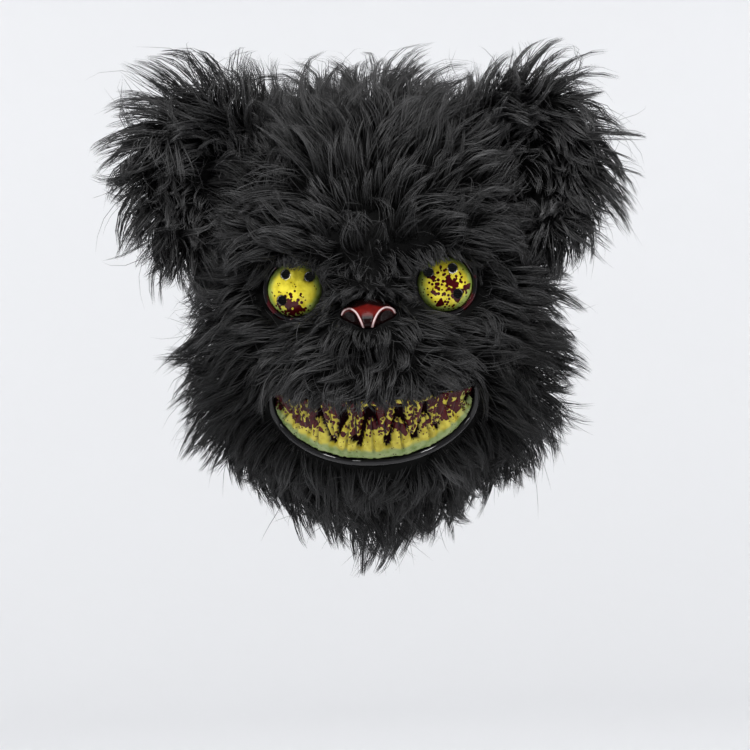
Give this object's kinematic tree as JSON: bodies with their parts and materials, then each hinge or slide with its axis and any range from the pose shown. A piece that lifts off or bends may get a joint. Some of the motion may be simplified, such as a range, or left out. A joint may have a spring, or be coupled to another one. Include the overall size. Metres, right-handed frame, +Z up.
{
  "type": "plush horror mask",
  "caption": "Furry bear fancy-dress mask: moulded face shell with bulging eyes, toothy grin, round ears and an elastic head strap.",
  "frame": {"origin": "head_seat: the inside of the shell's forehead, on the centre line, where it bears on the wearer", "axes": "+Y from the face back into the wearer's head, +Z up, +X to the right of someone facing the mask"},
  "size_m": [0.3072, 0.2457, 0.2975],
  "materials": {
    "shell_plastic": "gloss",
    "eye_plastic": "gloss",
    "nose_plastic": "gloss",
    "teeth_plastic": "gloss",
    "fur": "long pile",
    "elastic": "woven",
    "rivet_steel": "satin"
  },
  "bodies": {
    "root": {"shell": "shell_plastic", "nose": "nose_plastic", "teeth": "teeth_plastic", "face_fur": "fur", "strap": "elastic", "eye_left": "eye_plastic", "eye_right": "eye_plastic", "ear_left": "fur", "ear_right": "fur", "rivet_left": "rivet_steel", "rivet_right": "rivet_steel"}
  },
  "joints": []
}
